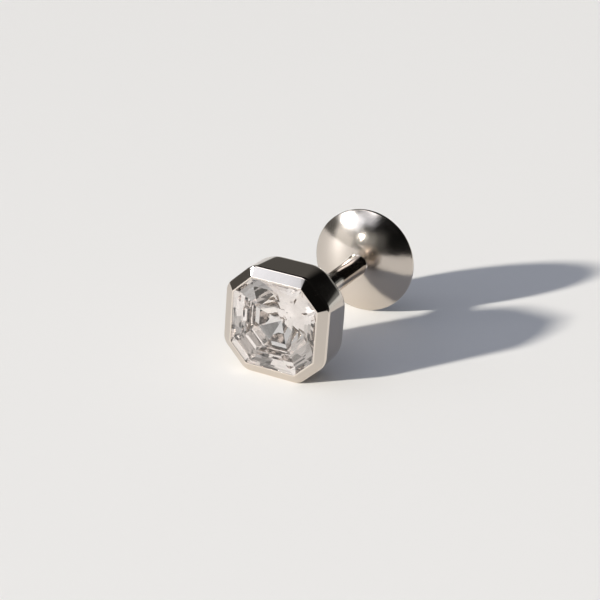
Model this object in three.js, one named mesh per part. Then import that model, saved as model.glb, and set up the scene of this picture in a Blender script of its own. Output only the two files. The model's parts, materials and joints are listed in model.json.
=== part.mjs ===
// Stud earring: a square step-cut stone with cropped corners in an octagonal bezel cup, whose hidden
// pin goes into a round straight post with a domed back. It lies on its side, as it does by itself.
//
// Millimetres. The stud is drawn along its own axis: the lip around the stone is the plane y = 0,
// the stone faces -Y, and the post runs to +Y. The last section lays the stud down, +Z up, with the
// origin under the middle of its box.

import * as THREE from 'three';

// ---- Driving dimensions ---------------------------------------------------------------------

// Bezel cup. A leg is what a cropped corner takes off each of the two sides that it joins.
const OPENING_WIDTH = 4.0;
const OPENING_LEG = 0.83;
const OPENING_CORNER_RADIUS = 0.03;
const LIP_WIDTH = 0.07;
const LIP_ROUND = 0.02;
const CUP_WIDTH = 4.97;
const CUP_LEG = 1.15;
const CUP_CORNER_RADIUS = 0.7;
const CUP_DEPTH = 2.25;
const FRAME_CHAMFER_DEPTH = 0.27;
const BACK_ROUND_DEPTH = 0.42;
const BACK_ROUND_INSET = 0.3;
const BACK_LEG = 1.39;
const BACK_CORNER_RADIUS = 1.4;
const FLOOR_THICKNESS = 0.34;
const BEARING_WIDTH = 0.25;
const WELL_TAPER = 0.15;

// Stone, from the table outwards and then on to the culet. Each step is a ring of eight facets, with
// its width in plan and its slope in degrees from the table. A leg share is how far the corners are
// cropped at the step's rear edge, as a share of the half width there.
const TABLE_LEG_SHARE = 0.394;
const GIRDLE_LEG_SHARE = 0.41;
const CROWN_STEPS = [
  { width: 0.26, slope: 14.5, legShare: 0.427 },
  { width: 0.37, slope: 20.7, legShare: 0.423 },
  { width: 0.3, slope: 33.2, legShare: GIRDLE_LEG_SHARE },
];
const GIRDLE_DEPTH = 0.06;
const GIRDLE_THICKNESS = 0.08;
const PAVILION_STEPS = [
  { width: 0.26, slope: 54, legShare: 0.42 },
  { width: 0.28, slope: 49, legShare: 0.45 },
  { width: 0.28, slope: 45, legShare: 0.5 },
  { width: 0.27, slope: 40, legShare: 0.57 },
  { width: 0.92, slope: 27.9, legShare: 0.57 },
];
const SETTING_GAP = 0.03;

// Post, hidden pin and domed back.
const POST_DIAMETER = 1.0;
const POST_END_CHAMFER = 0.05;
const POST_SEAT_GAP = 0.03;
const PIN_DIAMETER = 0.6;
const PIN_LENGTH = 1.8;
const PIN_TIP_CHAMFER = 0.08;
const PIN_GAP = 0.03;
const DISC_DIAMETER = 5.11;
const DISC_RIM_DEPTH = 9.74;
const DISC_RIM_THICKNESS = 0.21;
const DISC_RIM_ROUND = 0.07;
const DOME_HEIGHT = 0.87;
const POST_FILLET = 0.08;

// Facets of the round stretches.
const STEPS_PER_CORNER = 4;
const BACK_ROUND_STEPS = 4;
const DOME_STEPS = 8;
const FILLET_STEPS = 4;
const RIM_STEPS = 3;
const LATHE_SIDES = 48;

const METAL = { color: 0xc9c6c1, roughness: 0.06, metalness: 1.0 };
const CRYSTAL = { color: 0xf4f4f2, roughness: 0.0, metalness: 0.0 };

// ---- Rings and lofts ------------------------------------------------------------------------

const CORNER_COUNT = 8;
const CORNER_TURN = Math.PI / 4;
// A side moved in by some width takes this share of that width off each leg beside it.
const LEG_PER_INSET = 2 - Math.SQRT2;

// The eight corners of a cropped square, by rising angle from +X towards +Z.
function octagonCorners(half, leg) {
  const flat = half - leg;
  return [
    [half, flat],
    [flat, half],
    [-flat, half],
    [-half, flat],
    [-half, -flat],
    [-flat, -half],
    [flat, -half],
    [half, -flat],
  ];
}

function sharpOctagon(depth, half, leg) {
  return octagonCorners(half, leg).map(([x, z]) => new THREE.Vector3(x, depth, z));
}

// A cropped square whose corners are arcs, each turning the outline from one side to the next.
function roundedOctagon(depth, half, leg, radius) {
  const ring = [];
  const reach = radius / Math.cos(CORNER_TURN / 2);
  octagonCorners(half, leg).forEach(([cornerX, cornerZ], corner) => {
    const middle = (corner + 0.5) * CORNER_TURN;
    const centreX = cornerX - reach * Math.cos(middle);
    const centreZ = cornerZ - reach * Math.sin(middle);
    for (let step = 0; step <= STEPS_PER_CORNER; step += 1) {
      const angle = (corner + step / STEPS_PER_CORNER) * CORNER_TURN;
      const x = centreX + radius * Math.cos(angle);
      const z = centreZ + radius * Math.sin(angle);
      ring.push(new THREE.Vector3(x, depth, z));
    }
  });
  return ring;
}

// A circle with a point for each point of a rounded octagon, so that a loft can join the two.
function circle(depth, radius) {
  const ring = [];
  const count = CORNER_COUNT * (STEPS_PER_CORNER + 1);
  const first = (CORNER_TURN - (STEPS_PER_CORNER * 2 * Math.PI) / count) / 2;
  for (let index = 0; index < count; index += 1) {
    const angle = first + (index * 2 * Math.PI) / count;
    ring.push(new THREE.Vector3(radius * Math.cos(angle), depth, radius * Math.sin(angle)));
  }
  return ring;
}

// A closed body through rings of equal length. The first ring has a cap facing -Y and the last one
// a cap facing +Y, and what lies between faces outwards when the rings run from front to back.
function loft(rings) {
  const count = rings[0].length;
  const faces = [];
  for (let ring = 0; ring + 1 < rings.length; ring += 1) {
    for (let index = 0; index < count; index += 1) {
      const here = ring * count + index;
      const next = ring * count + ((index + 1) % count);
      faces.push(here, here + count, next);
      faces.push(next, here + count, next + count);
    }
  }
  const last = (rings.length - 1) * count;
  for (let index = 1; index + 1 < count; index += 1) {
    faces.push(0, index, index + 1);
    faces.push(last, last + index + 1, last + index);
  }
  const geometry = new THREE.BufferGeometry().setFromPoints(rings.flat());
  geometry.setIndex(faces);
  geometry.computeVertexNormals();
  return geometry;
}

// ---- Stone ----------------------------------------------------------------------------------

const drop = (step) => step.width * Math.tan(THREE.MathUtils.degToRad(step.slope));
const sum = (values) => values.reduce((total, value) => total + value, 0);

const CROWN_EDGE = CROWN_STEPS[CROWN_STEPS.length - 1];
const CROWN_RISE = drop(CROWN_EDGE) / CROWN_EDGE.width;
const GIRDLE_HALF = OPENING_WIDTH / 2 - SETTING_GAP + (GIRDLE_DEPTH - LIP_ROUND) / CROWN_RISE;

// Neighbouring outlines have parallel edges, so every facet between them is flat.
function stoneGeometry() {
  const rings = [];
  let half = GIRDLE_HALF - sum(CROWN_STEPS.map((step) => step.width));
  let depth = GIRDLE_DEPTH - sum(CROWN_STEPS.map(drop));
  const addRing = (legShare) => rings.push(sharpOctagon(depth, half, half * legShare));
  addRing(TABLE_LEG_SHARE);
  for (const step of CROWN_STEPS) {
    half += step.width;
    depth += drop(step);
    addRing(step.legShare);
  }
  depth += GIRDLE_THICKNESS;
  addRing(GIRDLE_LEG_SHARE);
  for (const step of PAVILION_STEPS) {
    half -= step.width;
    depth += drop(step);
    addRing(step.legShare);
  }
  return loft(rings);
}

// ---- Bezel cup with its pin -----------------------------------------------------------------

// The well under the stone, from its floor forward to the underside of the lip.
function wellRings() {
  const stoneLeg = GIRDLE_HALF * GIRDLE_LEG_SHARE;
  const well = (depth, inset) => {
    const leg = stoneLeg - inset * LEG_PER_INSET;
    return roundedOctagon(depth, GIRDLE_HALF - inset, leg, OPENING_CORNER_RADIUS);
  };
  const girdleBack = GIRDLE_DEPTH + GIRDLE_THICKNESS;
  const bearing = { width: BEARING_WIDTH, slope: PAVILION_STEPS[0].slope };
  return [
    well(CUP_DEPTH - FLOOR_THICKNESS, BEARING_WIDTH + WELL_TAPER),
    well(girdleBack + drop(bearing) + 2 * SETTING_GAP, BEARING_WIDTH),
    well(girdleBack + 2 * SETTING_GAP, -SETTING_GAP),
    well(GIRDLE_DEPTH, -SETTING_GAP),
  ];
}

// The thin bright lip, and the wide chamfered frame outside it.
function rimRings() {
  const lip = (depth, offset) => {
    const leg = OPENING_LEG + offset * LEG_PER_INSET;
    return roundedOctagon(depth, OPENING_WIDTH / 2 + offset, leg, OPENING_CORNER_RADIUS);
  };
  return [
    lip(LIP_ROUND, 0),
    lip(0, LIP_ROUND),
    lip(0, LIP_WIDTH - LIP_ROUND),
    lip(LIP_ROUND, LIP_WIDTH),
    roundedOctagon(FRAME_CHAMFER_DEPTH, CUP_WIDTH / 2, CUP_LEG, CUP_CORNER_RADIUS),
  ];
}

// The wall's corners grow rounder on the way to its back end, which curves inwards as they open out.
// Then the flat back begins.
function backRings() {
  const rings = [];
  for (let step = 0; step <= BACK_ROUND_STEPS; step += 1) {
    const share = step / BACK_ROUND_STEPS;
    const angle = (share * Math.PI) / 2;
    const inset = BACK_ROUND_INSET * (1 - Math.cos(angle));
    const depth = CUP_DEPTH - BACK_ROUND_DEPTH * (1 - Math.sin(angle));
    const leg = THREE.MathUtils.lerp(CUP_LEG, BACK_LEG, share) - inset * LEG_PER_INSET;
    rings.push(roundedOctagon(depth, CUP_WIDTH / 2 - inset, leg, BACK_CORNER_RADIUS));
  }
  return rings;
}

function pinRings() {
  const radius = PIN_DIAMETER / 2;
  const tip = CUP_DEPTH + PIN_LENGTH;
  return [
    circle(CUP_DEPTH, radius),
    circle(tip - PIN_TIP_CHAMFER, radius),
    circle(tip, radius - PIN_TIP_CHAMFER),
  ];
}

function bezelGeometry() {
  return loft([...wellRings(), ...rimRings(), ...backRings(), ...pinRings()]);
}

// ---- Post and domed back --------------------------------------------------------------------

// Points of an arc in the lathe's plane, where x is the radius and y the depth.
function arc(centre, radius, from, to, steps) {
  const points = [];
  for (let step = 0; step <= steps; step += 1) {
    const angle = THREE.MathUtils.lerp(from, to, step / steps);
    const x = centre.x + radius * Math.cos(angle);
    const y = centre.y + radius * Math.sin(angle);
    points.push(new THREE.Vector2(x, y));
  }
  return points;
}

function postGeometry() {
  const post = POST_DIAMETER / 2;
  const disc = DISC_DIAMETER / 2;
  const bore = PIN_DIAMETER / 2 + PIN_GAP;
  const front = CUP_DEPTH + POST_SEAT_GAP;
  const back = DISC_RIM_DEPTH + DISC_RIM_THICKNESS;

  // The dome is a cap of a sphere. The fillet touches it from outside, and the post's side.
  const domeRadius = (disc ** 2 + DOME_HEIGHT ** 2) / (2 * DOME_HEIGHT);
  const domeCentre = new THREE.Vector2(0, DISC_RIM_DEPTH - DOME_HEIGHT + domeRadius);
  const filletX = post + POST_FILLET;
  const filletY = domeCentre.y - Math.sqrt((domeRadius + POST_FILLET) ** 2 - filletX ** 2);
  const filletCentre = new THREE.Vector2(filletX, filletY);
  const touch = Math.atan2(domeCentre.y - filletY, -filletX);
  const domeStart = touch - Math.PI;
  const domeEnd = Math.atan2(DISC_RIM_DEPTH - domeCentre.y, disc);

  const rimCentre = new THREE.Vector2(disc - DISC_RIM_ROUND, back - DISC_RIM_ROUND);
  const profile = [
    new THREE.Vector2(0, CUP_DEPTH + PIN_LENGTH + PIN_GAP),
    new THREE.Vector2(bore, CUP_DEPTH + PIN_LENGTH + PIN_GAP),
    new THREE.Vector2(bore, front),
    new THREE.Vector2(post - POST_END_CHAMFER, front),
    new THREE.Vector2(post, front + POST_END_CHAMFER),
    ...arc(filletCentre, POST_FILLET, Math.PI, touch, FILLET_STEPS),
    ...arc(domeCentre, domeRadius, domeStart, domeEnd, DOME_STEPS).slice(1),
    ...arc(rimCentre, DISC_RIM_ROUND, 0, Math.PI / 2, RIM_STEPS),
    new THREE.Vector2(0, back),
  ];
  return new THREE.LatheGeometry(profile, LATHE_SIDES);
}

// ---- The stud, laid down --------------------------------------------------------------------

function piece(name, geometry, finish) {
  const mesh = new THREE.Mesh(geometry, new THREE.MeshStandardMaterial(finish));
  mesh.name = name;
  return mesh;
}

const stud = new THREE.Group();
stud.add(piece('bezel_setting', bezelGeometry(), METAL));
stud.add(piece('stone', stoneGeometry(), CRYSTAL));
stud.add(piece('post_and_back', postGeometry(), METAL));

// It lies on the frame's lower edge and the disc's rim. The disc is a little wider than the cup, so
// the axis rises towards the back.
const rise = (DISC_DIAMETER - CUP_WIDTH) / 2;
stud.rotation.x = Math.atan2(rise, DISC_RIM_DEPTH - FRAME_CHAMFER_DEPTH);
const box = new THREE.Box3().setFromObject(stud, true);
stud.position.set(0, -(box.min.y + box.max.y) / 2, -box.min.z);

const part = new THREE.Group();
part.add(stud);

export default part;
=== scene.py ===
"""Looks of a stud earring: a square step-cut stone in a polished bezel cup, on a post with a domed
back. Blender 4.5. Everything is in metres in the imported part's own frame, +Z up.

The metal pieces are drawn along the stud's own axis, in millimetres, with the lip around the stone at
depth 0 and the post running to larger depths along +Y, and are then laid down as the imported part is.
"""

import json
import math

import bpy
import numpy as np
from mathutils import Matrix, Vector

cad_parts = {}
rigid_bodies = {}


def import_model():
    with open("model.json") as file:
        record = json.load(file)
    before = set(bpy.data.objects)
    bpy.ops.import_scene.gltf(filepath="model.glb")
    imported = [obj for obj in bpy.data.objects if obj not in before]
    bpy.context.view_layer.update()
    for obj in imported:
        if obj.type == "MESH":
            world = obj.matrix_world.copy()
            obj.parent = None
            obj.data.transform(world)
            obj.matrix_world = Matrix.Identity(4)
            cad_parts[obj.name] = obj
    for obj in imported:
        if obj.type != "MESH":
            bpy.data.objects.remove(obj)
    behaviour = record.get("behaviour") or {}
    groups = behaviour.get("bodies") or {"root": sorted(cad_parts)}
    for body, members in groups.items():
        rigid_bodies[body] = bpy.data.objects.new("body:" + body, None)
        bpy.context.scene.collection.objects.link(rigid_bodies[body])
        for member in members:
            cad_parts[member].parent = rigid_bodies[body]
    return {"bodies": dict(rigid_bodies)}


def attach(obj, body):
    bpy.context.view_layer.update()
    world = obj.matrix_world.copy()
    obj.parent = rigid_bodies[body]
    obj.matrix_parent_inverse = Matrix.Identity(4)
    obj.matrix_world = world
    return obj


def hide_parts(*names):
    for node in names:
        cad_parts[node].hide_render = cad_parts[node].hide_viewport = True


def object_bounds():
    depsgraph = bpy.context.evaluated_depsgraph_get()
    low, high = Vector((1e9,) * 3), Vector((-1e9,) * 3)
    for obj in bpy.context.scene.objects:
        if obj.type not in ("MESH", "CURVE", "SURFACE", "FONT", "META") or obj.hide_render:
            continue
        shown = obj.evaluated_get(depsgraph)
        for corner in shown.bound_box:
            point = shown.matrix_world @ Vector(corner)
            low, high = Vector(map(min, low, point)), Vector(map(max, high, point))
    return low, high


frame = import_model()
cad_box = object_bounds()

MM = 0.001

# ---- Sizes of the stud, in millimetres along its own axis -------------------------------------

OPENING_WIDTH = 4.0
OPENING_LEG = 0.83
OPENING_CORNER_RADIUS = 0.03
LIP_WIDTH = 0.07
LIP_ROUND = 0.02
CUP_WIDTH = 4.97
CUP_LEG = 1.15
CUP_CORNER_RADIUS = 0.7
CUP_DEPTH = 2.25
FRAME_CHAMFER_DEPTH = 0.27
FRAME_EDGE_ROUND = 0.03
BACK_ROUND_DEPTH = 0.42
BACK_ROUND_INSET = 0.3
BACK_LEG = 1.39
BACK_CORNER_RADIUS = 1.4
FLOOR_THICKNESS = 0.34
BEARING_WIDTH = 0.25
BEARING_SLOPE = 54
WELL_TAPER = 0.15

GIRDLE_DEPTH = 0.06
GIRDLE_THICKNESS = 0.08
GIRDLE_LEG_SHARE = 0.41
CROWN_EDGE_SLOPE = 33.2
TABLE_LEG_SHARE = 0.394
SETTING_GAP = 0.03

POST_DIAMETER = 1.0
POST_END_CHAMFER = 0.05
POST_SEAT_GAP = 0.03
PIN_DIAMETER = 0.6
PIN_LENGTH = 1.8
PIN_TIP_CHAMFER = 0.08
PIN_GAP = 0.03
DISC_DIAMETER = 5.11
DISC_RIM_DEPTH = 9.74
DISC_RIM_THICKNESS = 0.21
DISC_RIM_ROUND = 0.07
DOME_HEIGHT = 0.87
POST_FILLET = 0.08

# ---- Camera, first of all ---------------------------------------------------------------------

CAMERA_TARGET = Vector((0.79, -3.92, 3.65)) * MM
CAMERA_DISTANCE = 65.3 * MM
CAMERA_AZIMUTH = 24.4
CAMERA_ELEVATION = 22.3
CAMERA_ROLL = 4.6
CAMERA_LENS = 90.6


def add_camera():
    """A camera that looks along +Y at azimuth 0 and along -X at 90, from above the surface."""
    azimuth = math.radians(CAMERA_AZIMUTH)
    elevation = math.radians(CAMERA_ELEVATION)
    turn = Matrix.Rotation(azimuth, 4, "Z")
    tip = Matrix.Rotation(math.pi / 2 - elevation, 4, "X")
    roll = Matrix.Rotation(math.radians(CAMERA_ROLL), 4, "Z")
    back = Matrix.Translation((0, 0, CAMERA_DISTANCE))
    data = bpy.data.cameras.new("camera")
    data.lens = CAMERA_LENS
    data.clip_start = 1 * MM
    data.clip_end = 10
    camera = bpy.data.objects.new("camera", data)
    bpy.context.collection.objects.link(camera)
    camera.matrix_world = Matrix.Translation(CAMERA_TARGET) @ turn @ tip @ roll @ back
    bpy.context.scene.camera = camera


# ---- Rings, lofts and lathes ------------------------------------------------------------------

CORNERS = 8
CORNER_TURN = math.pi / 4
ARC_STEPS = 16
SIDE_STEPS = 4
LEG_PER_INSET = 2 - math.sqrt(2)


def octagon_corners(half, leg):
    """The eight corners of a cropped square, by rising angle from +X towards +Z."""
    flat = half - leg
    return [
        (half, flat),
        (flat, half),
        (-flat, half),
        (-half, flat),
        (-half, -flat),
        (-flat, -half),
        (flat, -half),
        (half, -flat),
    ]


def rounded_octagon(depth, half, leg, radius):
    """A cropped square with round corners, and SIDE_STEPS stretches along each straight side."""
    arcs = []
    reach = radius / math.cos(CORNER_TURN / 2)
    for corner, (x, z) in enumerate(octagon_corners(half, leg)):
        middle = (corner + 0.5) * CORNER_TURN
        centre = np.array((x, z)) - reach * np.array((math.cos(middle), math.sin(middle)))
        angles = np.linspace(corner, corner + 1, ARC_STEPS + 1) * CORNER_TURN
        arcs.append(centre + radius * np.column_stack((np.cos(angles), np.sin(angles))))
    ring = []
    for corner, arc in enumerate(arcs):
        following = arcs[(corner + 1) % CORNERS][0]
        share = np.linspace(0, 1, SIDE_STEPS + 1)[1:-1, None]
        ring.append(arc)
        ring.append(arc[-1] + share * (following - arc[-1]))
    ring = np.vstack(ring)
    return np.column_stack((ring[:, 0], np.full(len(ring), depth), ring[:, 1]))


def circle(depth, radius):
    """A circle with a point for each point of a rounded octagon."""
    per_corner = ARC_STEPS + SIDE_STEPS
    angles = (np.arange(CORNERS * per_corner) - ARC_STEPS / 2) / per_corner
    angles = (angles + 0.5) * CORNER_TURN
    depths = np.full(len(angles), depth)
    return np.column_stack((radius * np.cos(angles), depths, radius * np.sin(angles)))


def loft_faces(ring_count, per_ring):
    """Quads between neighbouring rings, facing outwards when the rings run from front to back."""
    ring, index = np.meshgrid(np.arange(ring_count - 1), np.arange(per_ring), indexing="ij")
    here = ring * per_ring + index
    following = ring * per_ring + (index + 1) % per_ring
    faces = np.stack((here, here + per_ring, following + per_ring, following), axis=-1)
    return faces.reshape(-1, 4).tolist()


def loft(rings):
    """Points and faces of a closed body through the rings, with a flat cap at each end."""
    per_ring = len(rings[0])
    points = np.vstack(rings)
    faces = loft_faces(len(rings), per_ring)
    last = len(points) - per_ring
    faces.append(list(range(per_ring)))
    faces.append(list(range(len(points) - 1, last - 1, -1)))
    return points, faces


def lathe(profile, sides):
    """Points and faces of a closed body turned round the stud's axis. profile holds (radius, depth)
    pairs and starts and ends on the axis."""
    angles = np.arange(sides) * 2 * math.pi / sides
    rings = []
    for radius, depth in profile[1:-1]:
        depths = np.full(sides, depth)
        rings.append(np.column_stack((radius * np.cos(angles), depths, radius * np.sin(angles))))
    return loft(rings)


# ---- Laying the stud down ---------------------------------------------------------------------


def laid_down():
    """The stud's own axes, in millimetres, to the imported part's frame, in metres. It lies on the
    frame's lower edge and the disc's rim, and the disc is a little wider than the cup."""
    rise = (DISC_DIAMETER - CUP_WIDTH) / 2
    lie = math.atan2(rise, DISC_RIM_DEPTH - FRAME_CHAMFER_DEPTH)
    turn = Matrix.Rotation(lie, 4, "X")
    rim = turn @ Vector((0, DISC_RIM_DEPTH, -DISC_DIAMETER / 2))
    back_radius = DISC_DIAMETER / 2 - DISC_RIM_ROUND
    back = turn @ Vector((0, DISC_RIM_DEPTH + DISC_RIM_THICKNESS, -back_radius))
    shift = Vector((0, cad_box[1][1] / MM - back.y, -rim.z))
    return Matrix.Scale(MM, 4) @ Matrix.Translation(shift) @ turn


LAID_DOWN = laid_down()


def add_piece(name, points, faces, material, node, smooth=True, **point_values):
    """A mesh piece that stands for a CAD node and rides on the part's one body. point_values are
    numbers for each point that the material reads by name."""
    mesh = bpy.data.meshes.new(name)
    placed = [LAID_DOWN @ Vector(point) for point in points]
    mesh.from_pydata(placed, [], faces)
    mesh.validate()
    mesh.polygons.foreach_set("use_smooth", [smooth] * len(mesh.polygons))
    mesh.materials.append(material)
    for value_name, values in point_values.items():
        mesh.attributes.new(value_name, "FLOAT", "POINT").data.foreach_set("value", values)
    piece = bpy.data.objects.new(name, mesh)
    bpy.context.collection.objects.link(piece)
    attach(piece, next(iter(frame["bodies"])))
    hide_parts(node)
    return piece


# ---- Materials --------------------------------------------------------------------------------

# Sizes and depths of surface detail are in millimetres.
SCRATCH_SIZE = 0.05
SCRATCH_DEPTH = 0.0004
SCRATCH_STRETCH = (1, 6, 2)
METAL_SMUDGE_SIZE = 0.5
METAL_SMUDGE_RANGE = (0.35, 0.75)
METAL_SMUDGE_ROUGHNESS = 0.05
WORN_ROUGHNESS = 0.10
# Worn edges are made this much lighter in colour. This is a painted highlight standing for the bright
# lines that reflected light draws along the lip and edges.
EDGE_HIGHLIGHT_GAIN = 1.25
UNPOLISHED_ROUGHNESS = 0.5

CRYSTAL_IOR = 1.6
CRYSTAL_MARK_SIZE = 0.6
CRYSTAL_MARK_DEPTH = 0.0008
FOIL_SMEAR_SIZE = 0.35
FOIL_SMEAR_ROUGHNESS = 0.06
FOIL_COLOUR = (0.93, 0.90, 0.88)


def node_material(name):
    material = bpy.data.materials.new(name)
    material.use_nodes = True
    tree = material.node_tree
    return material, tree, tree.nodes["Principled BSDF"]


def math_node(tree, operation, first, second=None):
    node = tree.nodes.new("ShaderNodeMath")
    node.operation = operation
    for socket, value in zip(node.inputs, (first, second)):
        if value is None:
            continue
        if isinstance(value, (int, float)):
            socket.default_value = value
        else:
            tree.links.new(value, socket)
    return node.outputs[0]


def noise_height(tree, coordinates, size, detail, stretch=(1, 1, 1)):
    """Noise from 0 to 1 whose bumps are about size millimetres across."""
    mapping = tree.nodes.new("ShaderNodeMapping")
    mapping.inputs["Scale"].default_value = [1 / (size * MM * along) for along in stretch]
    tree.links.new(coordinates, mapping.inputs["Vector"])
    noise = tree.nodes.new("ShaderNodeTexNoise")
    noise.inputs["Scale"].default_value = 1
    noise.inputs["Detail"].default_value = detail
    tree.links.new(mapping.outputs[0], noise.inputs["Vector"])
    return noise.outputs["Fac"]


def bump(tree, height, depth, normal=None):
    """Bumps that are depth millimetres high."""
    node = tree.nodes.new("ShaderNodeBump")
    node.inputs["Distance"].default_value = depth * MM
    tree.links.new(height, node.inputs["Height"])
    if normal is not None:
        tree.links.new(normal, node.inputs["Normal"])
    return node.outputs["Normal"]


def polished_metal(name, colour, roughness, dent_size, dent_depth):
    """Polished white metal: shallow dents, fine scratches, smudges, and worn edges that are less
    glossy, with a painted highlight that makes them lighter in colour. The mesh says by point where
    it is worn and highlighted and where it is unpolished."""
    material, tree, shader = node_material(name)
    nodes, links = tree.nodes, tree.links
    coordinates = nodes.new("ShaderNodeTexCoord").outputs["Object"]
    dents = noise_height(tree, coordinates, dent_size, detail=2)
    scratches = noise_height(
        tree, coordinates, SCRATCH_SIZE, detail=3, stretch=SCRATCH_STRETCH
    )
    normal = bump(tree, dents, dent_depth)
    links.new(bump(tree, scratches, SCRATCH_DEPTH, normal), shader.inputs["Normal"])

    wear = nodes.new("ShaderNodeAttribute")
    wear.attribute_name = "wear"
    smudges = nodes.new("ShaderNodeMapRange")
    smudges.inputs["From Min"].default_value = METAL_SMUDGE_RANGE[0]
    smudges.inputs["From Max"].default_value = METAL_SMUDGE_RANGE[1]
    smudges.inputs["To Min"].default_value = roughness
    smudges.inputs["To Max"].default_value = roughness + METAL_SMUDGE_ROUGHNESS
    smudge_height = noise_height(tree, coordinates, METAL_SMUDGE_SIZE, detail=4)
    links.new(smudge_height, smudges.inputs["Value"])
    worn = math_node(tree, "MULTIPLY", wear.outputs["Fac"], WORN_ROUGHNESS)
    unpolished = nodes.new("ShaderNodeAttribute")
    unpolished.attribute_name = "unpolished"
    matt = math_node(tree, "MULTIPLY", unpolished.outputs["Fac"], UNPOLISHED_ROUGHNESS)
    shiny = math_node(tree, "ADD", smudges.outputs["Result"], worn)
    links.new(math_node(tree, "ADD", shiny, matt), shader.inputs["Roughness"])

    # Painted highlight: the base colour turns lighter on worn points, standing for bright lines of
    # reflected light along the lip and edges.
    tint = nodes.new("ShaderNodeMix")
    tint.data_type = "RGBA"
    tint.inputs["A"].default_value = (*colour, 1)
    edge_highlight_colour = [min(1, channel * EDGE_HIGHLIGHT_GAIN) for channel in colour]
    tint.inputs["B"].default_value = (*edge_highlight_colour, 1)
    links.new(wear.outputs["Fac"], tint.inputs["Factor"])
    links.new(tint.outputs["Result"], shader.inputs["Base Color"])
    shader.inputs["Metallic"].default_value = 1
    return material


def clear_crystal(name):
    """Clear crystal with faint polishing marks. The mesh says by point where it is foil-backed: a
    smeared mirror coat that stands in for a cut stone's total reflection."""
    material, tree, shader = node_material(name)
    nodes, links = tree.nodes, tree.links
    shader.inputs["IOR"].default_value = CRYSTAL_IOR
    shader.inputs["Transmission Weight"].default_value = 1
    coordinates = nodes.new("ShaderNodeTexCoord").outputs["Object"]
    marks = noise_height(tree, coordinates, CRYSTAL_MARK_SIZE, detail=3)
    links.new(bump(tree, marks, CRYSTAL_MARK_DEPTH), shader.inputs["Normal"])

    foil = nodes.new("ShaderNodeAttribute")
    foil.attribute_name = "foil_backed"
    links.new(foil.outputs["Fac"], shader.inputs["Metallic"])
    smear_height = noise_height(tree, coordinates, FOIL_SMEAR_SIZE, detail=4)
    smears = math_node(tree, "MULTIPLY", smear_height, FOIL_SMEAR_ROUGHNESS)
    links.new(math_node(tree, "MULTIPLY", foil.outputs["Fac"], smears), shader.inputs["Roughness"])
    tint = nodes.new("ShaderNodeMix")
    tint.data_type = "RGBA"
    tint.inputs["A"].default_value = (1, 1, 1, 1)
    tint.inputs["B"].default_value = (*FOIL_COLOUR, 1)
    links.new(foil.outputs["Fac"], tint.inputs["Factor"])
    links.new(tint.outputs["Result"], shader.inputs["Base Color"])
    return material


# ---- Bezel cup --------------------------------------------------------------------------------

LIP_RINGS = 9
# How square the lip's round is: 1 is an ellipse, and less is fuller.
LIP_FULLNESS = 0.4
# Where the frame's rings lie, as shares of the way out from the lip.
FRAME_SHARES = (0.03, 0.06, 0.2, 0.4, 0.6, 0.8, 0.9, 0.94)
WALL_STEPS = 11
BACK_ROUND_STEPS = 24
# Rings that keep the smooth shading flat on the cup's back and square at the pin's root.
BACK_FLAT_RADIUS = 1.6
PIN_ROOT_STEP = 0.05
# How worn the lip, the frame's outer edge and a ring on the cup's flat back are. The same values
# lighten their colour as a painted highlight.
LIP_WEAR_AND_HIGHLIGHT = 1
FRAME_EDGE_WEAR_AND_HIGHLIGHT = 1
BACK_FLAT_WEAR_AND_HIGHLIGHT = 0.5


def drop(width, slope):
    """How much deeper a facet gets across its width in plan, at a slope in degrees."""
    return width * math.tan(math.radians(slope))


GIRDLE_HALF = (
    OPENING_WIDTH / 2
    - SETTING_GAP
    + (GIRDLE_DEPTH - LIP_ROUND) / math.tan(math.radians(CROWN_EDGE_SLOPE))
)


def well_rings():
    """The well under the stone, from its floor forward to the underside of the lip."""
    girdle_back = GIRDLE_DEPTH + GIRDLE_THICKNESS
    bearing_depth = girdle_back + drop(BEARING_WIDTH, BEARING_SLOPE) + 2 * SETTING_GAP
    sections = [
        (CUP_DEPTH - FLOOR_THICKNESS, BEARING_WIDTH + WELL_TAPER),
        (bearing_depth, BEARING_WIDTH),
        (girdle_back + 2 * SETTING_GAP, -SETTING_GAP),
        (GIRDLE_DEPTH, -SETTING_GAP),
    ]
    stone_leg = GIRDLE_HALF * GIRDLE_LEG_SHARE
    return [
        rounded_octagon(
            depth, GIRDLE_HALF - inset, stone_leg - inset * LEG_PER_INSET, OPENING_CORNER_RADIUS
        )
        for depth, inset in sections
    ]


def rim_rings():
    """The rounded lip and the flat chamfered frame, up to its softened outer edge."""
    rings = []
    for angle in np.linspace(0, math.pi, LIP_RINGS):
        offset = LIP_WIDTH * (1 - math.cos(angle)) / 2
        depth = LIP_ROUND * (1 - math.sin(angle) ** LIP_FULLNESS)
        leg = OPENING_LEG + offset * LEG_PER_INSET
        rings.append(
            rounded_octagon(depth, OPENING_WIDTH / 2 + offset, leg, OPENING_CORNER_RADIUS)
        )
    inner_half = OPENING_WIDTH / 2 + LIP_WIDTH
    inner_leg = OPENING_LEG + LIP_WIDTH * LEG_PER_INSET
    for share in FRAME_SHARES:
        rings.append(
            rounded_octagon(
                LIP_ROUND + share * (FRAME_CHAMFER_DEPTH - LIP_ROUND),
                inner_half + share * (CUP_WIDTH / 2 - inner_half),
                inner_leg + share * (CUP_LEG - inner_leg),
                OPENING_CORNER_RADIUS + share * (CUP_CORNER_RADIUS - OPENING_CORNER_RADIUS),
            )
        )
    return rings


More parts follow.
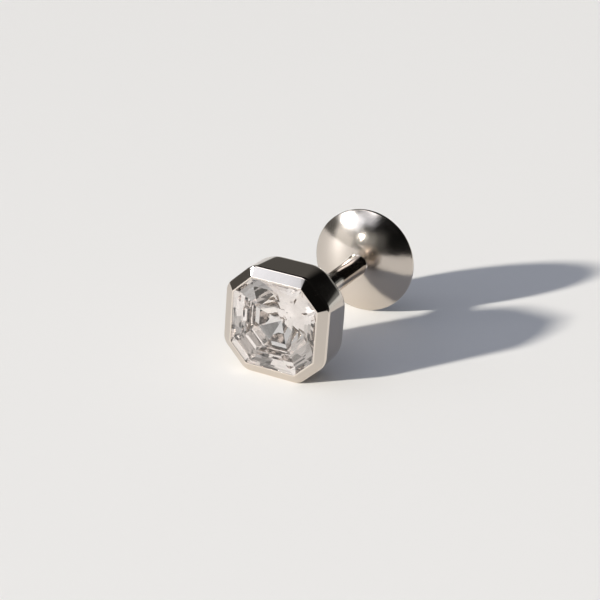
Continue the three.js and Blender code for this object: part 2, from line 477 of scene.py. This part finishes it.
def wall_rings():
    """The wall behind the frame, whose corners grow rounder, then its back end, which curves
    inwards."""
    rings = []
    start = FRAME_CHAMFER_DEPTH + FRAME_EDGE_ROUND
    end = CUP_DEPTH - BACK_ROUND_DEPTH
    for share in np.linspace(0, 1, WALL_STEPS + 1)[:-1]:
        depth = start + share * (end - start)
        radius = CUP_CORNER_RADIUS + share * (BACK_CORNER_RADIUS - CUP_CORNER_RADIUS)
        rings.append(rounded_octagon(depth, CUP_WIDTH / 2, CUP_LEG, radius))
    for share in np.linspace(0, 1, BACK_ROUND_STEPS + 1):
        angle = share * math.pi / 2
        inset = BACK_ROUND_INSET * (1 - math.cos(angle))
        depth = CUP_DEPTH - BACK_ROUND_DEPTH * (1 - math.sin(angle))
        leg = CUP_LEG + share * (BACK_LEG - CUP_LEG) - inset * LEG_PER_INSET
        rings.append(rounded_octagon(depth, CUP_WIDTH / 2 - inset, leg, BACK_CORNER_RADIUS))
    return rings


def pin_rings():
    """The flat back of the cup and the hidden pin that stands on it."""
    radius = PIN_DIAMETER / 2
    tip = CUP_DEPTH + PIN_LENGTH
    return [
        circle(CUP_DEPTH, BACK_FLAT_RADIUS),
        circle(CUP_DEPTH, radius + PIN_ROOT_STEP),
        circle(CUP_DEPTH, radius),
        circle(CUP_DEPTH + PIN_ROOT_STEP, radius),
        circle(tip - PIN_TIP_CHAMFER, radius),
        circle(tip, radius - PIN_TIP_CHAMFER),
    ]


def add_bezel(material):
    """The cup and its pin as one closed body, unpolished inside the well."""
    well = well_rings()
    rim = rim_rings()
    wall = wall_rings()
    pin = pin_rings()
    points, faces = loft([*well, *rim, *wall, *pin])
    per_ring = len(well[0])
    behind = len(rim) + len(wall) + len(pin)
    matt = np.repeat([1] * len(well) + [0] * behind, per_ring).astype(float)
    # Worn rings, whose colour the metal also lightens as a painted highlight.
    worn = np.zeros(len(well) + behind)
    worn[len(well) : len(well) + LIP_RINGS] = LIP_WEAR_AND_HIGHLIGHT
    frame_edge = len(well) + len(rim)
    worn[frame_edge - 1 : frame_edge + 1] = FRAME_EDGE_WEAR_AND_HIGHLIGHT
    worn[-len(pin)] = BACK_FLAT_WEAR_AND_HIGHLIGHT
    return add_piece(
        "bezel_cup",
        points,
        faces,
        material,
        "bezel_setting",
        unpolished=matt,
        wear=np.repeat(worn, per_ring),
    )


# ---- Stone ------------------------------------------------------------------------------------

# Each step's width, slope, and how far the corners are cropped at its rear edge, as a share of the
# half width there. The crown's steps start at the table and the pavilion's at the girdle. The crown's
# steps, the leg shares of the table and the girdle, and the last pavilion step are rounded from an
# automatic search for a cut with the photo's tones. The other pavilion steps were set one by one.
CROWN_STEPS = [
    (0.26, 14.5, 0.427),
    (0.37, 20.7, 0.423),
    (0.30, CROWN_EDGE_SLOPE, GIRDLE_LEG_SHARE),
]
PAVILION_STEPS = [
    (0.26, BEARING_SLOPE, 0.42),
    (0.28, 49, 0.45),
    (0.28, 45, 0.50),
    (0.27, 40, 0.57),
    (0.92, 27.9, 0.57),
]


def add_stone(material):
    """The stone from its table to its cut-off culet, foil-backed from behind the girdle."""
    rings = []

    def ring(depth, half, share):
        rings.append(np.array([(x, depth, z) for x, z in octagon_corners(half, half * share)]))

    half = GIRDLE_HALF - sum(width for width, _, _ in CROWN_STEPS)
    depth = GIRDLE_DEPTH - sum(drop(width, slope) for width, slope, _ in CROWN_STEPS)
    ring(depth, half, TABLE_LEG_SHARE)
    for width, slope, share in CROWN_STEPS:
        half += width
        depth += drop(width, slope)
        ring(depth, half, share)
    depth += GIRDLE_THICKNESS
    ring(depth, half, GIRDLE_LEG_SHARE)
    for width, slope, share in PAVILION_STEPS:
        half -= width
        depth += drop(width, slope)
        ring(depth, half, share)
    points, faces = loft(rings)
    front_rings = len(CROWN_STEPS) + 1
    foil = np.repeat([0] * front_rings + [1] * (len(rings) - front_rings), CORNERS).astype(float)
    return add_piece(
        "step_cut_stone", points, faces, material, "stone", smooth=False, foil_backed=foil
    )


# ---- Post and domed back ----------------------------------------------------------------------

LATHE_SIDES = 160
FILLET_STEPS = 16
DOME_STEPS = 64
RIM_STEPS = 8
# Extra rings this far from a sharp edge keep the smooth shading from running over it.
BORE_EDGE_STEP = 0.01
EDGE_STEP = 0.02
# How worn the post's front end and the disc's rim are. The same values lighten their colour as a
# painted highlight.
POST_END_WEAR_AND_HIGHLIGHT = 0.6
RIM_WEAR_AND_HIGHLIGHT = 0.8
DOME_SATIN = 0.15
# So that rounding doesn't leave out the dome's last ring.
DEPTH_SLACK = 0.01
# The rings on both edges of the chamfer at the post's front end.
POST_END_RINGS = slice(3, 5)
# The dome's last ring and the rim's rings but for its last.
RIM_RINGS = slice(-12, -3)


def arc(centre, radius, start, end, steps):
    """Points of an arc from one angle to another, in steps."""
    angles = np.linspace(start, end, steps + 1)
    return [(centre[0] + radius * math.cos(a), centre[1] + radius * math.sin(a)) for a in angles]


def add_post(material):
    """The post with its bore, a small fillet, the dome, the round rim and the flat back, turned
    round the stud's axis."""
    post = POST_DIAMETER / 2
    disc = DISC_DIAMETER / 2
    bore = PIN_DIAMETER / 2 + PIN_GAP
    front = CUP_DEPTH + POST_SEAT_GAP
    back = DISC_RIM_DEPTH + DISC_RIM_THICKNESS
    bore_end = CUP_DEPTH + PIN_LENGTH + PIN_GAP

    dome_radius = (disc**2 + DOME_HEIGHT**2) / (2 * DOME_HEIGHT)
    dome_centre = (0, DISC_RIM_DEPTH - DOME_HEIGHT + dome_radius)
    fillet_x = post + POST_FILLET
    fillet_y = dome_centre[1] - math.sqrt((dome_radius + POST_FILLET) ** 2 - fillet_x**2)
    touch = math.atan2(dome_centre[1] - fillet_y, -fillet_x)
    dome_end = math.atan2(DISC_RIM_DEPTH - dome_centre[1], disc)
    rim_centre = (disc - DISC_RIM_ROUND, back - DISC_RIM_ROUND)

    profile = [(0, bore_end), (bore - BORE_EDGE_STEP, bore_end)]
    profile += [(bore, bore_end - BORE_EDGE_STEP), (bore, front)]
    profile += [(post - POST_END_CHAMFER, front), (post, front + POST_END_CHAMFER)]
    profile += [(post, front + POST_END_CHAMFER + EDGE_STEP), (post, fillet_y - EDGE_STEP)]
    profile += arc((fillet_x, fillet_y), POST_FILLET, math.pi, touch, FILLET_STEPS)
    profile += arc(dome_centre, dome_radius, touch - math.pi, dome_end, DOME_STEPS)[1:]
    profile += arc(rim_centre, DISC_RIM_ROUND, 0, math.pi / 2, RIM_STEPS)
    profile += [(rim_centre[0] - EDGE_STEP, back), (EDGE_STEP, back), (0, back)]
    points, faces = lathe(profile, LATHE_SIDES)
    # Worn rings, whose colour the metal also lightens as a painted highlight.
    worn = np.zeros(len(profile) - 2)
    worn[POST_END_RINGS] = POST_END_WEAR_AND_HIGHLIGHT
    worn[RIM_RINGS] = RIM_WEAR_AND_HIGHLIGHT
    radii, depths = np.array(profile[1:-1]).T
    on_dome = (radii > post + POST_FILLET) & (depths < DISC_RIM_DEPTH + DEPTH_SLACK)
    satin = np.where(on_dome, DOME_SATIN, 0)
    return add_piece(
        "post_with_domed_back",
        points,
        faces,
        material,
        "post_and_back",
        wear=np.repeat(worn, LATHE_SIDES),
        unpolished=np.repeat(satin, LATHE_SIDES),
    )


# ---- Floor and light --------------------------------------------------------------------------

FLOOR_SIZE = 4.0
FLOOR_TONE = (0.82, 0.80, 0.77)
FLOOR_ROUGHNESS = 0.62
FLOOR_SPECULAR = 0.8
# Name, azimuth, elevation, angle across, strength, colour, and whether it is for polished surfaces.
SUNS = [
    ("key_light", 239.2, 18.2, 3.0, 7.25, (1.03, 1.0, 0.93), False),
    ("glint_light", 249.0, 17.0, 3.0, 0.17, (1.0, 1.0, 0.97), True),
    ("sheen_light", 217.0, 27.0, 12.0, 2.8, (1.0, 1.0, 1.0), True),
]
PALE_BACKDROP = (0.80, 0.79, 0.76)
ROOM_TONE = (0.006, 0.006, 0.006)
STONE_ROOM_TONE = (0.11, 0.108, 0.104)
FILL_TONE = (0.240, 0.265, 0.326)
# Where the fill is strongest, as azimuth and elevation. It falls from FILL_HIGH there to FILL_LOW
# where the cosine of the angle from it is FILL_END.
FILL_FROM = (235, 35)
FILL_LOW = 0.0
FILL_HIGH = 1.9
FILL_END = -0.5

# The room as the metal shows it: soft-edged patches of light. Angles are in degrees, with azimuths
# from +X towards +Y.
PATCH_COLUMNS = ("azimuth", "elevation", "width", "height", "edge", "radiance", "colour")
PATCHES = [
    (222, 29.5, 37, 17, 9, 1.27, (0.84, 0.90, 1.02)),
    (244, 43, 26, 18, 12, 0.95, (0.84, 0.89, 1.0)),
    (220, 62, 44, 20, 8, 2.4, (0.98, 0.98, 1.03)),
    (195, 30, 20, 18, 8, 0.55, (0.95, 0.98, 1.03)),
    (238, 13, 62, 28, 12, 0.27, (0.97, 0.98, 0.95)),
    (274, 14, 20, 26, 12, 0.10, (0.97, 0.98, 0.95)),
    (224, 5, 30, 18, 8, 0.65, (1.0, 0.98, 0.95)),
    (146, 8, 133, 60, 20, 0.10, (1.0, 0.97, 0.92)),
    (112, 3, 44, 16, 6, 0.7, (0.98, 1.0, 1.0)),
    (86, 4, 52, 28, 12, 0.28, (0.95, 1.0, 1.0)),
    (66, 2, 26, 12, 5, 0.6, (0.98, 1.0, 1.0)),
]
# The same for light that has passed through the stone.
STONE_PATCHES = [
    (230, 8, 44, 18, 6, 0.56, (1.0, 0.98, 0.96)),
    (190, 26, 34, 14, 6, 0.42, (0.98, 0.99, 1.0)),
    (247, 30, 18, 30, 6, 0.70, (1.0, 1.0, 0.99)),
    (190, 66, 60, 30, 10, 0.6, (0.98, 0.99, 1.0)),
    (288, 30, 16, 60, 6, 0.45, (1.0, 0.98, 0.96)),
    (316, 30, 16, 60, 6, 0.37, (0.98, 0.99, 1.0)),
]


# Keeps the division safe. Directions behind a patch then fall outside it, but for a tiny spot.
LEAST_AHEAD = 0.001


def towards(azimuth, elevation):
    """The direction at an azimuth, counted from +X towards +Y, and an elevation, in degrees."""
    azimuth = math.radians(azimuth)
    elevation = math.radians(elevation)
    flat = math.cos(elevation)
    return Vector((flat * math.cos(azimuth), flat * math.sin(azimuth), math.sin(elevation)))


def add_floor():
    half = FLOOR_SIZE / 2
    mesh = bpy.data.meshes.new("floor")
    corners = [(-half, -half, 0), (half, -half, 0), (half, half, 0), (-half, half, 0)]
    mesh.from_pydata(corners, [], [(0, 1, 2, 3)])
    material, tree, shader = node_material("pale_floor")
    shader.inputs["Base Color"].default_value = (*FLOOR_TONE, 1)
    shader.inputs["Roughness"].default_value = FLOOR_ROUGHNESS
    shader.inputs["Specular IOR Level"].default_value = FLOOR_SPECULAR
    mesh.materials.append(material)
    floor = bpy.data.objects.new("floor", mesh)
    bpy.context.collection.objects.link(floor)


def add_suns():
    """Low sunlight from the front left. This isn't one physical lamp: the first lights matt surfaces
    only, and the others are seen by polished surfaces only."""
    for name, azimuth, elevation, angle, strength, colour, shiny in SUNS:
        data = bpy.data.lights.new(name, "SUN")
        data.energy = strength
        data.color = colour
        data.angle = math.radians(angle)
        sun = bpy.data.objects.new(name, data)
        sun.visible_diffuse = not shiny
        sun.visible_glossy = shiny
        sun.visible_transmission = False
        bpy.context.collection.objects.link(sun)
        sun.rotation_euler = towards(azimuth, elevation).to_track_quat("Z", "Y").to_euler()


def dot_node(tree, vector, axis):
    node = tree.nodes.new("ShaderNodeVectorMath")
    node.operation = "DOT_PRODUCT"
    tree.links.new(vector, node.inputs[0])
    node.inputs[1].default_value = axis
    return node.outputs["Value"]


def soft_window(tree, ratio, half_angle, edge):
    """1 where the angle whose tangent is ratio is within half_angle, falling to 0 across edge."""
    ramp = tree.nodes.new("ShaderNodeMapRange")
    ramp.interpolation_type = "SMOOTHSTEP"
    ramp.inputs["From Min"].default_value = half_angle + edge / 2
    ramp.inputs["From Max"].default_value = half_angle - edge / 2
    angle = math_node(tree, "ARCTANGENT", ratio)
    tree.links.new(math_node(tree, "ABSOLUTE", angle), ramp.inputs["Value"])
    return ramp.outputs["Result"]


def patch_of_light(tree, direction, patch):
    """How bright one patch is in each direction."""
    azimuth, elevation = patch["azimuth"], patch["elevation"]
    ahead = dot_node(tree, direction, towards(azimuth, elevation))
    ahead = math_node(tree, "MAXIMUM", ahead, LEAST_AHEAD)
    aside = dot_node(tree, direction, towards(azimuth + 90, 0))
    above = dot_node(tree, direction, towards(azimuth, elevation + 90))
    edge = math.radians(patch["edge"])
    half_width = math.radians(patch["width"] / 2)
    half_height = math.radians(patch["height"] / 2)
    across = soft_window(tree, math_node(tree, "DIVIDE", aside, ahead), half_width, edge)
    upright = soft_window(tree, math_node(tree, "DIVIDE", above, ahead), half_height, edge)
    window = math_node(tree, "MULTIPLY", across, upright)
    return math_node(tree, "MULTIPLY", window, float(patch["radiance"]))


def background_node(tree, colour):
    node = tree.nodes.new("ShaderNodeBackground")
    node.inputs["Color"].default_value = (*colour, 1)
    return node.outputs[0]


def room_light(tree, direction, room_tone, patches):
    """An even room tone with soft patches of light added to it."""
    tone = tree.nodes.new("ShaderNodeRGB")
    tone.outputs[0].default_value = (*room_tone, 1)
    total = tone.outputs[0]
    for row in patches:
        patch = dict(zip(PATCH_COLUMNS, row))
        add = tree.nodes.new("ShaderNodeVectorMath")
        add.operation = "MULTIPLY_ADD"
        tree.links.new(patch_of_light(tree, direction, patch), add.inputs[0])
        add.inputs[1].default_value = patch["colour"]
        tree.links.new(total, add.inputs[2])
        total = add.outputs[0]
    room = background_node(tree, room_tone)
    tree.links.new(total, room.node.inputs["Color"])
    return room


def fill_light(tree, direction):
    """A fill that is strongest from the front left and above, and fades to nothing behind."""
    share = tree.nodes.new("ShaderNodeMapRange")
    share.inputs["From Min"].default_value = FILL_END
    share.inputs["From Max"].default_value = 1
    share.inputs["To Min"].default_value = FILL_LOW
    share.inputs["To Max"].default_value = FILL_HIGH
    tree.links.new(dot_node(tree, direction, towards(*FILL_FROM)), share.inputs["Value"])
    fill = background_node(tree, FILL_TONE)
    tree.links.new(share.outputs["Result"], fill.node.inputs["Strength"])
    return fill


def add_world():
    """Four separate surroundings: what the metal shows, what shows through the stone, the fill on
    matt surfaces, and the plain pale backdrop that the camera sees past the floor."""
    world = bpy.data.worlds.new("studio")
    bpy.context.scene.world = world
    world.use_nodes = True
    tree = world.node_tree
    nodes, links = tree.nodes, tree.links
    nodes.clear()
    direction = nodes.new("ShaderNodeTexCoord").outputs["Generated"]
    path = nodes.new("ShaderNodeLightPath")
    light = room_light(tree, direction, ROOM_TONE, PATCHES)
    for is_this_ray, other in (
        ("Is Transmission Ray", room_light(tree, direction, STONE_ROOM_TONE, STONE_PATCHES)),
        ("Is Diffuse Ray", fill_light(tree, direction)),
        ("Is Camera Ray", background_node(tree, PALE_BACKDROP)),
    ):
        choose = nodes.new("ShaderNodeMixShader")
        links.new(path.outputs[is_this_ray], choose.inputs["Fac"])
        links.new(light, choose.inputs[1])
        links.new(other, choose.inputs[2])
        light = choose.outputs[0]
    output = nodes.new("ShaderNodeOutputWorld")
    links.new(light, output.inputs["Surface"])


# ---- Making it all ----------------------------------------------------------------------------

# Light crosses the stone many times before it leaves.
MOST_BOUNCES = 24

add_camera()
setting_metal = polished_metal(
    "setting_metal", colour=(0.64, 0.58, 0.52), roughness=0.04, dent_size=0.5, dent_depth=0.0014
)
post_metal = polished_metal(
    "post_metal", colour=(0.63, 0.57, 0.51), roughness=0.06, dent_size=0.3, dent_depth=0.0035
)
crystal = clear_crystal("crystal")
add_bezel(setting_metal)
add_stone(crystal)
add_post(post_metal)

add_floor()
add_suns()
add_world()

scene = bpy.context.scene
scene.view_settings.view_transform = "Standard"
scene.cycles.max_bounces = MOST_BOUNCES
scene.cycles.transmission_bounces = MOST_BOUNCES
scene.cycles.glossy_bounces = 12
scene.cycles.diffuse_bounces = 4
